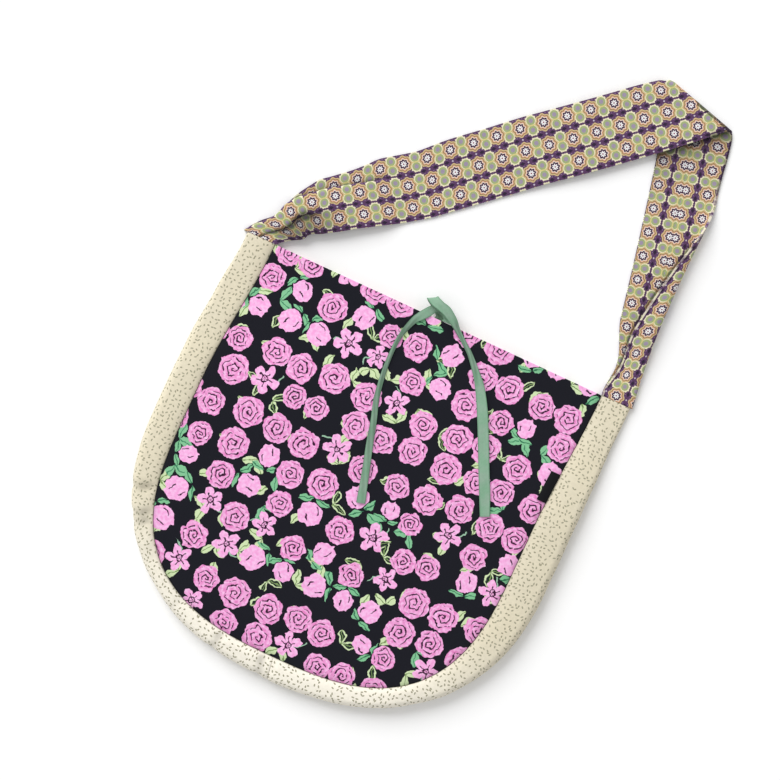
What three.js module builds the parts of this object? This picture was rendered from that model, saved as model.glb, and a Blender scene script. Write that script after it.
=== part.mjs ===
// A cloth shoulder bag, lying on its back with its strap laid out beside the mouth.
//
// Two round-bottomed panels are joined by a side band. The band's two halves meet in a seam at the
// bottom, and its ends are folded in half where the strap is sewn to them. A lining fills the inside,
// a tape tie is sewn to the middle of each mouth edge, and a small tab is caught in the right seam.
//
// Millimetres. +X runs along the mouth, +Y points from the bag's bottom to its mouth and strap, and
// +Z points up from the table. The origin is the middle of the back panel's outer face.
import * as THREE from 'three';

// Sizes of the bag
const mouthWidth = 362; // between the front panel's two side seams, at the mouth
const bagDepth = 400; // from the mouth to the outer edge of the band, at the bottom
const straightSide = 200; // depth at which the side seams turn into the round bottom
const bandAtMouth = 31; // half of the side band's width, where it is folded for the strap
const bandAtSide = 35; // the same, halfway down
const bandAtBottom = 24; // the same, at the bottom seam
const sideBulge = 1; // how far each side seam bows out below the mouth
const drift = -5; // sideways shift of the bag's middle from the mouth's middle
const lean = 3.5; // how far each panel lies aside from there, the front one to the left
const settleRun = 150; // depth over which the folded ends grow to the bag's full shape
const seamRoundness = 2.8; // superellipse exponents of the bottoms: 2 is round, more is squarer
const outerRoundnessLeft = 2.27;
const outerRoundnessRight = 2.3;

// Heights above the table, to the cloth's outer face
const jointHeight = 6.4; // the folded band and strap, where they are sewn together
const sideHeight = 17; // the band's seams with the front panel
const mouthLift = 6; // how much higher the middle of the mouth stands than its corners
const dome = 5; // how much higher the middle of the front panel stands than its seams

// Cloth
const shellThickness = 1.4;
const liningThickness = 0.8;
const gap = 0.3; // between any two pieces that touch

// Strap
const strapWidth = 68;
const strapThickness = 2;
const strapReach = 305; // from the mouth to the middle of the strap's diagonal fold
const strapSide = 145.5; // from the bag's middle line to the middle of that fold
const strapFoldRadius = 2.4; // at the diagonal fold, to the middle of the cloth
const strapSetOff = 57; // degrees above +X, of the long arm where it leaves the bag
const strapBendIn = 30; // from the mouth's left corner to the end of the long arm's first bend
const strapBendOut = 67; // from the mouth to there
const strapBendHeading = 34; // degrees above +X, of the long arm there
const strapRollRadius = 5.5; // of the lengthwise fold, away from the bag
const strapHeading = 43; // degrees above +X, of the long arm where it reaches the diagonal fold
const foldHeading = -15.5; // degrees above +X, of the diagonal fold itself
const strapComeIn = -81; // degrees above +X, of the short arm where it meets the bag
const openRunLong = 235; // length over which the long arm's lengthwise fold opens out
const openRunShort = 235; // the same on the short arm
const openPowerShort = 1.6; // how much later it opens there than in step with the length

// Ties and tab
const tieThickness = 1;
const tabLength = 32;
const tabReach = 10; // how far the tab stands out of the seam
const tabDepth = 90; // from the mouth to the tab's upper end
const tabThickness = 0.8;

// How finely the solids are faceted
const sideSteps = 6;
const bottomSteps = 20;
const mouthSteps = 10;
const panelRings = 5;
const foldSteps = 6;
const tieSteps = 3;

const { lerp, degToRad, smoothstep } = THREE.MathUtils;
const mouthHalf = mouthWidth / 2;
const yMouth = bagDepth / 2;
const stations = 2 * sideSteps + bottomSteps; // sections along the band, from mouth to mouth
const settled = (depth) => smoothstep(depth, 0, settleRun);

// Outlines, seen from above. Each gives a point at one station of the way round, [x, depth].

function around(station, halfWidth, bottomRun, roundness) {
  const side = station < stations / 2 ? -1 : 1;
  const down = Math.min(station, stations - station);
  if (down <= sideSteps) {
    const depth = (straightSide * down) / sideSteps;
    return [side * halfWidth(depth), depth];
  }
  const turn = (Math.PI * (down - sideSteps)) / bottomSteps;
  const power = Math.cos(turn) ** roundness + Math.sin(turn) ** roundness;
  const reach = power ** (-1 / roundness);
  return [
    side * halfWidth(straightSide) * reach * Math.cos(turn),
    straightSide + bottomRun * reach * Math.sin(turn),
  ];
}

const seamHalf = (depth) => mouthHalf + sideBulge * settled(depth);
const outerHalf = (depth) => mouthHalf + lerp(bandAtMouth, sideBulge + bandAtSide, settled(depth));
const seamBottomRun = bagDepth - bandAtBottom - straightSide;

// leanSide is -1 for the front panel's seam and 1 for the back panel's.
function seamAt(station, leanSide) {
  const [x, depth] = around(station, seamHalf, seamBottomRun, seamRoundness);
  return new THREE.Vector2(x + (drift + leanSide * lean) * settled(depth), yMouth - depth);
}

function outerAt(station) {
  const roundness = station <= stations / 2 ? outerRoundnessLeft : outerRoundnessRight;
  const [x, depth] = around(station, outerHalf, bagDepth - straightSide, roundness);
  return new THREE.Vector2(x + drift * settled(depth), yMouth - depth);
}

// Heights of the cloth's outer face

const seamHeight = (depth) => lerp(jointHeight, sideHeight, settled(depth));

function frontHeight(x, y) {
  const depth = yMouth - y;
  const across = Math.abs(x - (drift - lean) * settled(depth)) / seamHalf(depth);
  const down = Math.max(0, (depth - straightSide) / seamBottomRun);
  const outward = Math.min(1, across ** seamRoundness + down ** seamRoundness);
  const swell = lerp(mouthLift, dome, settled(depth));
  return seamHeight(depth) + swell * (1 - outward ** (2 / seamRoundness));
}

// Surfaces are lists of points, normals and triangles. thicken closes one into a solid sheet that
// lies between two distances from it, measured along the normals.

function thicken({ points, normals, triangles }, outer, inner) {
  const count = points.length;
  const position = [];
  for (const offset of [outer, inner]) {
    points.forEach((p, i) => {
      position.push(p.x + normals[i].x * offset, p.y + normals[i].y * offset, p.z + normals[i].z * offset);
    });
  }
  const edges = new Set();
  for (const [a, b, c] of triangles) {
    edges.add(`${a} ${b}`).add(`${b} ${c}`).add(`${c} ${a}`);
  }
  const index = [];
  for (const [a, b, c] of triangles) {
    index.push(a, b, c, count + c, count + b, count + a);
    for (const [from, to] of [[a, b], [b, c], [c, a]]) {
      if (edges.has(`${to} ${from}`)) continue;
      index.push(count + from, count + to, to, count + from, to, from);
    }
  }
  const geometry = new THREE.BufferGeometry();
  geometry.setAttribute('position', new THREE.Float32BufferAttribute(position, 3));
  geometry.setIndex(index);
  geometry.computeVertexNormals();
  return geometry;
}

// rows is a list of rows of { point, normal }, with rows and columns turning left round the normal.
function sheetSurface(rows) {
  const across = rows[0].length;
  const triangles = [];
  for (let i = 0; i + 1 < rows.length; i++) {
    for (let j = 0; j + 1 < across; j++) {
      const a = i * across + j;
      triangles.push([a, a + across, a + across + 1], [a, a + across + 1, a + 1]);
    }
  }
  const cells = rows.flat();
  return { points: cells.map((c) => c.point), normals: cells.map((c) => c.normal), triangles };
}

// A panel: rings that shrink from its outline to a middle point, with its height given by a function.
function panelSurface(leanSide, heightAt) {
  const outline = [];
  for (let k = 0; k <= stations; k++) {
    const seam = seamAt(k, leanSide);
    const outward = outerAt(k).sub(seam).normalize();
    outline.push(seam.addScaledVector(outward, -gap / 2));
  }
  const [left, right] = [outline[0], outline[stations]];
  for (let k = 1; k < mouthSteps; k++) outline.push(right.clone().lerp(left, k / mouthSteps));

  const middle = new THREE.Vector2(drift + leanSide * lean, yMouth - bagDepth * 0.45);
  const lift = (p) => new THREE.Vector3(p.x, p.y, heightAt(p.x, p.y));
  const points = [lift(middle)];
  const triangles = [];
  const count = outline.length;
  for (let ring = 1; ring <= panelRings; ring++) {
    outline.forEach((p) => points.push(lift(middle.clone().lerp(p, ring / panelRings))));
    const base = 1 + (ring - 1) * count;
    for (let k = 0; k < count; k++) {
      const next = (k + 1) % count;
      if (ring === 1) {
        triangles.push([0, base + k, base + next]);
        continue;
      }
      const inside = base - count;
      triangles.push([inside + k, base + k, base + next], [inside + k, base + next, inside + next]);
    }
  }
  return { points, normals: points.map(() => new THREE.Vector3(0, 0, 1)), triangles };
}

// The side band: at each station a section runs from the back seam, flat along the table, round the
// outer edge and flat again to the front seam.
function bandSurface(firstStation, lastStation, endShift) {
  const rows = [];
  for (let k = firstStation; k <= lastStation; k++) {
    const outer = outerAt(k);
    const front = seamAt(k, -1);
    const back = seamAt(k, 1);
    const toFront = outer.clone().sub(front).normalize();
    const toBack = outer.clone().sub(back).normalize();
    front.addScaledVector(toFront, gap / 2);
    back.addScaledVector(toBack, gap / 2);
    const half = seamHeight(yMouth - outer.y) / 2;
    const shift = k === stations / 2 ? endShift : 0;
    const cell = (plan, z, normal) => ({ point: new THREE.Vector3(plan.x + shift, plan.y, z), normal });
    const row = [cell(back, 0, new THREE.Vector3(0, 0, -1))];
    for (let step = 0; step <= foldSteps; step++) {
      const turn = Math.PI * (step / foldSteps - 0.5);
      const outward = toBack.clone().lerp(toFront, step / foldSteps).normalize();
      const plan = outer.clone().addScaledVector(outward, half * (Math.cos(turn) - 1));
      const level = Math.cos(turn);
      const normal = new THREE.Vector3(outward.x * level, outward.y * level, Math.sin(turn));
      row.push(cell(plan, half * (1 + Math.sin(turn)), normal));
    }
    row.push(cell(front, 2 * half, new THREE.Vector3(0, 0, 1)));
    rows.push(row);
  }
  return sheetSurface(rows);
}

// The strap. Its route is drawn as if it had no diagonal fold, and the stretch past the fold is then
// turned over it. Across its width, position 0 is the edge sewn to the bag's front.

const towards = (degrees) => new THREE.Vector2(Math.cos(degToRad(degrees)), Math.sin(degToRad(degrees)));
const fold = new THREE.Vector2(strapSide, yMouth + strapReach);
const foldAlong = towards(foldHeading);
const foldOutward = new THREE.Vector2(-foldAlong.y, foldAlong.x);
const foldArc = Math.PI * strapFoldRadius;

// Where a place on the short arm lies in the route without the fold.
function unfolded(place) {
  const from = place.clone().sub(fold);
  const beyond = foldArc - from.dot(foldOutward);
  return fold.clone().addScaledVector(foldAlong, from.dot(foldAlong)).addScaledVector(foldOutward, beyond);
}

function strapRoute() {
  const sewnX = mouthHalf + strapWidth / 2;
  const sewnY = yMouth + gap;
  const start = new THREE.Vector2(-sewnX, sewnY);
  const bend = new THREE.Vector2(strapBendIn - mouthHalf, yMouth + strapBendOut);
  const end = new THREE.Vector2(sewnX, sewnY);
  const from = (point, degrees, length) => point.clone().addScaledVector(towards(degrees), length);
  const path = new THREE.CurvePath();
  path.add(new THREE.CubicBezierCurve(
    start, from(start, strapSetOff, 30), from(bend, strapBendHeading, -30), bend,
  ));
  path.add(new THREE.CubicBezierCurve(
    bend, from(bend, strapBendHeading, 90), from(fold, strapHeading, -120), fold,
  ));
  path.add(new THREE.CubicBezierCurve(
    fold, from(fold, strapHeading, 90), unfolded(from(end, strapComeIn, -50)), unfolded(end),
  ));
  return path;
}

const route = strapRoute();
const routeLength = route.getLength();
const shortArm = route.curves[2].getLength();
const longArm = routeLength - shortArm;
const sewnLeft = new THREE.Vector2(-1, 0); // the way the width runs at each sewn end
const sewnRight = foldAlong.clone().multiplyScalar(-2 * foldAlong.x).sub(sewnLeft);

// How the width is folded lengthwise at a distance from the sewn end: where the fold's middle lies
// across the width, and how long its arc is.
function lengthwiseFold(distance, openRun, power) {
  const jointRadius = (jointHeight - strapThickness) / 2;
  const radius = lerp(jointRadius, strapRollRadius, smoothstep(distance, 0, 90));
  const arc = Math.PI * radius;
  const opened = Math.min(1, distance / openRun) ** power;
  return { middle: strapWidth / 2 + ((strapWidth + arc) / 2) * opened, arc };
}

// The section's curve from its flat free edge: how far across and how high the cloth lies when it
// has run a length s, bending through half a turn about the fold's middle.
function foldedAt(s, { middle, arc }) {
  const radius = arc / Math.PI;
  const start = middle - arc / 2;
  if (s <= start) return [s, 0];
  const turn = Math.min(Math.PI, (s - start) / radius);
  const rest = Math.max(0, s - start - arc);
  return [start + radius * Math.sin(turn) - rest, radius * (1 - Math.cos(turn))];
}

function strapPoint(s, along) {
  const u = THREE.MathUtils.clamp(along / routeLength, 0, 1);
  const place = route.getPoint(u);
  const heading = route.getTangent(u);
  const square = new THREE.Vector2(-heading.y, heading.x);
  const onLongArm = along < longArm;
  const across = (onLongArm ? sewnLeft : sewnRight).clone();
  across.lerp(square, smoothstep(Math.min(along, routeLength - along), 0, 80)).normalize();
  let [side, height] = [s, strapThickness / 2];
  if (onLongArm) {
    const shape = lengthwiseFold(along, openRunLong, 1);
    const [reach, drop] = foldedAt(s, shape);
    const lowest = foldedAt(strapWidth, shape)[1];
    const lift = 2 * strapFoldRadius * smoothstep(along, longArm - 230, longArm - 110);
    side = reach;
    height += lowest - drop + lift;
  } else {
    const shape = lengthwiseFold(routeLength - along, openRunShort, openPowerShort);
    const [reach, rise] = foldedAt(strapWidth - s, shape);
    side = strapWidth - reach;
    height += rise + 2 * strapFoldRadius;
  }
  place.addScaledVector(across, side - strapWidth / 2);
  const from = place.clone().sub(fold);
  const beyond = from.dot(foldOutward);
  if (beyond <= 0 || onLongArm && along < longArm / 2) return new THREE.Vector3(place.x, place.y, height);
  const turn = Math.min(Math.PI, beyond / strapFoldRadius);
  const back = strapFoldRadius * Math.sin(turn) - Math.max(0, beyond - foldArc);
  const folded = fold.clone().addScaledVector(foldAlong, from.dot(foldAlong)).addScaledVector(foldOutward, back);
  return new THREE.Vector3(folded.x, folded.y, height - strapFoldRadius * (1 - Math.cos(turn)));
}

// Where the strap's width is divided, at a distance along it: close together round the fold.
function strapDivisions(along) {
  const least = 2.5; // the least width of the fold's own share and of what lies past it
  const dividedBy = (shape) => {
    const end = Math.min(shape.middle + shape.arc / 2, strapWidth - least);
    const start = Math.min(shape.middle - shape.arc / 2, end - 2 * least);
    const cuts = [0, start / 2];
    for (let step = 0; step <= foldSteps; step++) cuts.push(lerp(start, end, step / foldSteps));
    return [...cuts, (end + strapWidth) / 2, strapWidth];
  };
  const long = dividedBy(lengthwiseFold(along, openRunLong, 1));
  const short = dividedBy(lengthwiseFold(routeLength - along, openRunShort, openPowerShort));
  const share = smoothstep(along, openRunLong, routeLength - openRunShort);
  return long.map((cut, i) => lerp(cut, strapWidth - short[short.length - 1 - i], share));
}

function strapSurface() {
  const crossing = degToRad(strapHeading - foldHeading);
  const slant = 1 / Math.tan(crossing);
  const slantReach = 130; // length over which the divisions turn from square to the fold's slant
  const places = [];
  for (const share of [0, 0.02, 0.045, 0.075, 0.11, 0.15, 0.19, 0.24, 0.3, 0.37, 0.45, 0.54, 0.63, 0.72, 0.81, 0.9]) {
    places.push(share * longArm);
  }
  const bendLength = foldArc / Math.sin(crossing);
  for (let step = -1; step <= foldSteps + 1; step++) {
    places.push(longArm + (bendLength * step) / foldSteps);
  }
  for (const share of [0.88, 0.76, 0.65, 0.56, 0.48, 0.4, 0.33, 0.26, 0.2, 0.14, 0.09, 0.045, 0]) {
    places.push(routeLength - share * shortArm);
  }
  const rows = places.map((along) => {
    const skew = slant * (1 - smoothstep(Math.abs(along - longArm), 10, slantReach));
    return strapDivisions(along).map((s) => {
      const at = (ds, dl) => strapPoint(s + ds, along - skew * (s + ds - strapWidth / 2) + dl);
      const point = at(0, 0);
      const step = 0.05;
      const nearEnd = along < step ? 1 : along > routeLength - step ? -1 : 0;
      const alongStep = at(0, nearEnd < 0 ? 0 : step).sub(at(0, nearEnd > 0 ? 0 : -step));
      const acrossStep = at(step, 0).sub(at(-step, 0));
      const normal = alongStep.cross(acrossStep);
      if (nearEnd) normal.y = 0;
      return { point, normal: normal.normalize() };
    });
  });
  return sheetSurface(rows);
}

// The ties, from their mouth edge through the half knot to their free ends. Each place gives x, the
// distance beyond the mouth, z, the compass bearing of the tape's width (degrees above +X) and how
// wide the tape lies there: it is pinched in the knot and curled along part of its tails.
const tieBackRoute = [
  [0, 0.6, 1, 0, 9], [-0.2, 4, 1.2, 5, 8], [-4, 8, 2, 30, 7], [-9, 12, 3.6, 35, 7],
  [-13.4, 15.4, 5.6, 30, 9], [-15, 17.4, 8.6, 27, 11], [-14.1, 17.2, 12, 27, 11], [-10, 15.2, 14.4, 40, 9],
  [-3.5, 13.2, 15.8, 60, 7], [4, 11, 16.3, 60, 7], [13.5, 5, 15.8, 55, 7], [20, -0.2, 14.8, 52, 6],
  [26.8, -5.5, 14, 50, 5.5], [35, -11.8, 13.6, 50, 5], [42.9, -18.3, 13.7, 47, 7],
  [56.2, -32.5, 14.5, 41, 10], [66, -44.8, 15.4, 35, 11], [78.5, -66, 16.8, 28, 11],
  [92.2, -93.4, 18.5, 26, 11], [105.5, -120.9, 20.2, 26, 11], [115.5, -141, 20.7, 26, 11],
  [124.2, -159.5, 20.6, 25, 10],
];
const tieFrontRoute = [
  [8, 0.6, 11.6, 0, 9], [7.8, 4, 11.4, 5, 8], [4, 7.8, 10.8, 45, 7], [-2.5, 9.6, 10.2, 80, 6.5],
  [-8.5, 8.2, 10.6, 110, 6.5], [-13.4, 1.8, 13, 135, 6], [-18.5, -5, 14, 145, 5.5],
  [-22.6, -11.5, 13.8, 155, 5], [-28, -29.2, 14.5, 170, 4.5], [-29.3, -48.3, 15.8, 180, 4],
  [-27.9, -71.3, 17.9, 187, 4.6], [-23.9, -96.4, 20.3, 193, 5.5], [-17, -118.5, 22, 196, 6.2],
  [-10.9, -141, 23, 196, 7], [-2.1, -170.7, 23.2, 196, 7.6], [5.9, -199, 23.2, 196, 9],
];

function tieSurface(places) {
  const points = places.map(([x, beyond, z]) => new THREE.Vector3(x, yMouth + beyond, z));
  const path = new THREE.CatmullRomCurve3(points, false, 'catmullrom');
  const last = places.length - 1;
  const rows = [];
  for (let step = 0; step <= last * tieSteps; step++) {
    const before = Math.min(Math.floor(step / tieSteps), last - 1);
    const share = step / tieSteps - before;
    const [bearing, width] = [3, 4].map((column) => lerp(places[before][column], places[before + 1][column], share));
    const along = path.getTangent(step / tieSteps / last);
    const side = new THREE.Vector3(Math.cos(degToRad(bearing)), Math.sin(degToRad(bearing)), 0);
    side.addScaledVector(along, -side.dot(along)).normalize();
    const normal = side.clone().cross(along);
    rows.push([width / 2, -width / 2].map((offset) => {
      const point = path.getPoint(step / tieSteps / last).addScaledVector(side, offset);
      return { point, normal };
    }));
  }
  return sheetSurface(rows);
}

// The tab lies on the front panel with its sewn edge at the right seam.
function tabSurface() {
  const rows = [];
  for (let i = 0; i <= 3; i++) {
    const y = yMouth - tabDepth - (tabLength * i) / 3;
    const seamX = seamHalf(yMouth - y) + (drift - lean) * settled(yMouth - y) - gap / 2;
    const row = [];
    for (let j = 0; j <= 2; j++) {
      const x = seamX - tabReach + (tabReach * j) / 2;
      row.push({ point: new THREE.Vector3(x, y, frontHeight(x, y)), normal: new THREE.Vector3(0, 0, 1) });
    }
    rows.push(row);
  }
  return sheetSurface(rows);
}

const bag = new THREE.Group();

function add(name, geometry, color, roughness) {
  const material = new THREE.MeshStandardMaterial({ color, roughness, metalness: 0 });
  const mesh = new THREE.Mesh(geometry, material);
  mesh.name = name;
  bag.add(mesh);
}

const shell = (surface) => thicken(surface, 0, -shellThickness);
const lining = (surface) => thicken(surface, -shellThickness - gap, -shellThickness - gap - liningThickness);
const backHeight = shellThickness; // the back panel's inner face, over its outer face on the table
const front = panelSurface(-1, frontHeight);
const back = panelSurface(1, () => backHeight);
const middleStation = stations / 2;

add('front_panel', shell(front), '#1b1f29', 0.85);
add('back_panel', shell(back), '#1b1f29', 0.85);
add('side_band_left', shell(bandSurface(0, middleStation, -gap / 2)), '#e3dac0', 0.9);
add('side_band_right', shell(bandSurface(middleStation, stations, gap / 2)), '#e3dac0', 0.9);
add('lining_front', lining(front), '#d9d2bd', 0.9);
add('lining_back', thicken(back, gap + liningThickness, gap), '#d9d2bd', 0.9);
add('lining_band', lining(bandSurface(0, stations, 0)), '#d9d2bd', 0.9);
add('shoulder_strap', thicken(strapSurface(), strapThickness / 2, -strapThickness / 2), '#5c3a7e', 0.8);
add('tie_front', thicken(tieSurface(tieFrontRoute), tieThickness / 2, -tieThickness / 2), '#7ba487', 0.8);
add('tie_back', thicken(tieSurface(tieBackRoute), tieThickness / 2, -tieThickness / 2), '#7ba487', 0.8);
add('seam_tab', thicken(tabSurface(), gap + tabThickness, gap), '#15151a', 0.6);

export default bag;
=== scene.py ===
# %% [markdown]
# # A cloth shoulder bag, laid flat
#
# The bag lies on its back on a white table and is seen from straight above. Two round-bottomed panels
# of rose-printed cotton are joined by a cream side band. A long strap of patterned cloth is sewn to the
# folded ends of the band, and two green tapes are knotted once at the mouth.
#
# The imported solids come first. They fix where every piece lies, and each piece made below takes the
# place of one of them.

# %% The fixed frame
import math
import bmesh
import bpy
import numpy as np
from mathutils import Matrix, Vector, noise


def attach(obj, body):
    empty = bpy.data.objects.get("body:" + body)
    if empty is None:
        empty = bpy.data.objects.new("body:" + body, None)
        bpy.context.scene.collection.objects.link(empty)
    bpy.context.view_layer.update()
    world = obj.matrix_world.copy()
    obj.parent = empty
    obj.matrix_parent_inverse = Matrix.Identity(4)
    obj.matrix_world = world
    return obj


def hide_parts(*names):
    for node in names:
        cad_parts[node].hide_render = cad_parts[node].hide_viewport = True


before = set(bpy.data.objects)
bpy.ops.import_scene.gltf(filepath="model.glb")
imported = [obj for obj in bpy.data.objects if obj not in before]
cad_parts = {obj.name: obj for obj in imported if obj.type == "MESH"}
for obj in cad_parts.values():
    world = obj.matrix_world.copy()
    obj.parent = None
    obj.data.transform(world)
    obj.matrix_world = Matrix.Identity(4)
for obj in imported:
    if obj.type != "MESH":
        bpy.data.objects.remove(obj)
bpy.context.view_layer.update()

MM = 0.001
scene = bpy.context.scene
bpy.ops.object.select_all(action="DESELECT")
print("nodes in the frame:", sorted(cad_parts))


def ease(value, low, high):
    """0 at low, 1 at high, and smooth between them."""
    share = np.clip((np.asarray(value, float) - low) / (high - low), 0, 1)
    return share * share * (3 - 2 * share)


def hill(value, rise, top, fall, foot):
    """0 up to rise, 1 from top to fall, and 0 again from foot."""
    return ease(value, rise, top) * (1 - ease(value, fall, foot))


def bell(away, reach):
    """1 in the middle, falling off on both sides."""
    return np.exp(-(away / reach) ** 2)


def between(a, b, share):
    return a + (b - a) * share


def unit(vectors):
    return vectors / np.linalg.norm(vectors, axis=-1, keepdims=True)


def run_along(points):
    """The distance from the first of a line of points to each."""
    return np.concatenate([[0], np.cumsum(np.linalg.norm(np.diff(points, axis=0), axis=1))])


# %% [markdown]
# ## Camera
#
# The bag is seen from straight above, turned so that its mouth runs down to the right. A long lens from
# 2.2 m keeps the flat shape free of perspective: the frame is 780 mm wide at the height of the cloth.

# %% Camera
camera_height, cloth_height, frame_width = 2.2, 0.017, 0.780
camera_x, camera_y, view_turn = -0.0148, 0.11565, 24.8
camera_data = bpy.data.cameras.new("camera")
camera_data.lens = camera_data.sensor_width * (camera_height - cloth_height) / frame_width
camera = bpy.data.objects.new("camera", camera_data)
camera.location = (camera_x, camera_y, camera_height)
camera.rotation_euler = (0, 0, math.radians(view_turn))
scene.collection.objects.link(camera)
scene.camera = camera
print("lens", round(camera_data.lens, 1), "mm")

# %% [markdown]
# ## Cloth as a mesh
#
# Each piece of cloth starts as one layer of quads in a grid, with rows across the cloth. A grid keeps
# the faces in even lines along the folds, and its UV map holds real metres on the cloth, so that weave
# and print follow every fold. Solidify then gives it its thickness, and a small bevel rounds the cut
# edges, as a turned or pressed edge is round. An attribute on each piece holds painted shade where the
# cloth is pressed together in folds and seams, and under and beside other cloth. The finishes below read it.


# %% From grid to cloth
def thicken(piece, thickness, offset=-1.0):
    """Gives a layer its thickness and rounded rims. The faces of its underside get material index 1."""
    piece.data.materials.append(None)
    piece.data.materials.append(None)
    bpy.context.view_layer.objects.active = piece
    solid = piece.modifiers.new("thickness", "SOLIDIFY")
    solid.thickness, solid.offset, solid.material_offset = thickness * MM, offset, 1
    bpy.ops.object.modifier_apply(modifier="thickness")
    rim = piece.modifiers.new("rim", "BEVEL")
    rim.width, rim.segments, rim.angle_limit = 0.3 * thickness * MM, 2, math.radians(60)
    bpy.ops.object.modifier_apply(modifier="rim")
    piece.data.polygons.foreach_set("use_smooth", [True] * len(piece.data.polygons))
    print(f"{piece.name}: {len(piece.data.polygons)} faces")


def cloth(name, points, uv, thickness, offset=-1.0, ring=False, crease_and_shade=None):
    """points is rows x columns x 3 and uv is rows x columns x 2, both in mm. A ring closes on itself.
    The last argument is painted shade, rows x columns, from 0 for open cloth to 1 for the bottom of a fold."""
    rows, columns = points.shape[:2]
    faces = []
    for i in range(rows if ring else rows - 1):
        ahead = (i + 1) % rows
        for j in range(columns - 1):
            faces.append((i * columns + j, ahead * columns + j, ahead * columns + j + 1, i * columns + j + 1))
    mesh = bpy.data.meshes.new(name)
    mesh.from_pydata((points.reshape(-1, 3) * MM).tolist(), [], faces)
    flat = uv.reshape(-1, 2) * MM
    layer = mesh.uv_layers.new(name="cloth")
    layer.data.foreach_set("uv", flat[[loop.vertex_index for loop in mesh.loops]].ravel())
    # Painted shade; none unless it is given
    pressed = np.zeros(rows * columns) if crease_and_shade is None else np.clip(crease_and_shade, 0, 1).ravel()
    mesh.attributes.new("crease_and_shade", "FLOAT", "POINT").data.foreach_set("value", pressed)
    if ring:
        welded = bmesh.new()
        welded.from_mesh(mesh)
        bmesh.ops.remove_doubles(welded, verts=welded.verts, dist=0.01 * MM)
        welded.to_mesh(mesh)
        welded.free()
    piece = bpy.data.objects.new(name, mesh)
    scene.collection.objects.link(piece)
    thicken(piece, thickness, offset)
    return piece


# %% [markdown]
# ## The tape ties
#
# Each tie is a woven tape about 11 mm wide, sewn to the middle of one mouth edge. The two cross in half
# a knot just past the mouth, and their tails lie on the front. A tape has one fixed length and bends
# only across its width, so it is drawn along a route of chosen places. Each place says which way the
# tape's width points and how wide it lies there: it is pinched in the knot and curls along its tails.

# %% Where the ties lie
y_mouth = 200
tape_width, tape_thickness, steps_between = 11, 0.7, 10

# Each place: x, the distance beyond the mouth, z, the bearing of the width in degrees, the width
tie_back_route = [
    (0, 0.6, 1, 0, 9), (-0.2, 4, 1.2, 5, 8), (-4, 8, 2, 30, 7), (-9, 12, 3.6, 35, 7),
    (-13.4, 15.4, 5.6, 30, 9), (-15, 17.4, 8.6, 27, 11), (-14.1, 17.2, 12, 27, 11),
    (-10, 15.2, 14.4, 40, 10.5), (-3.5, 13.2, 15.8, 60, 9.5), (4, 11, 16.3, 60, 10),
    (13.5, 5, 15.8, 55, 8.5), (20, -0.2, 14.8, 52, 5.8), (26.8, -5.5, 14, 50, 4.8),
    (35, -11.8, 13.8, 50, 4.6), (42.9, -18.3, 14, 47, 5), (56.2, -32.5, 14.8, 41, 7),
    (66, -44.8, 15.4, 35, 9.5), (78.5, -66, 16.8, 28, 11), (92.2, -93.4, 18.5, 26, 11),
    (105.5, -120.9, 20.2, 26, 11), (115.5, -141, 20.7, 26, 11), (124.2, -159.5, 20.6, 25, 10),
]
tie_front_route = [
    (8, 0.6, 11.6, 0, 9), (7.8, 4, 11.4, 5, 8), (4, 7.8, 10.8, 45, 7), (-2.5, 9.6, 10.2, 80, 6.5),
    (-8.5, 8.2, 10.6, 112, 8.5), (-13.4, 1.8, 13, 138, 9.6), (-18.5, -5, 14, 146, 8.6),
    (-22.6, -11.5, 14, 155, 6.8), (-28, -29.2, 14.8, 170, 4.4), (-29.3, -48.3, 16, 180, 4),
    (-27.9, -71.3, 17.9, 187, 4.6), (-23.9, -96.4, 20.3, 193, 5.5), (-17, -118.5, 22, 196, 6.2),
    (-10.9, -141, 23, 196, 7), (-2.1, -170.7, 23.2, 196, 7.6), (5.9, -199, 23.2, 196, 9),
]
print("places of the ties:", len(tie_back_route), "and", len(tie_front_route))


# %% Tape along a route
def along_route(places):
    """Places joined by a Catmull-Rom spline through their x, y and z. The other two values run straight."""
    given = np.array(places, float)
    given[:, 1] += y_mouth
    ends = np.vstack([2 * given[0] - given[1], given, 2 * given[-1] - given[-2]])
    made = []
    for i in range(1, len(given)):
        before, here, there, after = ends[i - 1:i + 3]
        for t in np.arange(steps_between) / steps_between:
            place = (2 * here + (there - before) * t + (2 * before - 5 * here + 4 * there - after) * t * t
                     + (3 * here - before - 3 * there + after) * t ** 3) / 2
            place[3:] = between(here[3:], there[3:], t)
            made.append(place)
    made.append(given[-1])
    return np.array(made)


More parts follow.
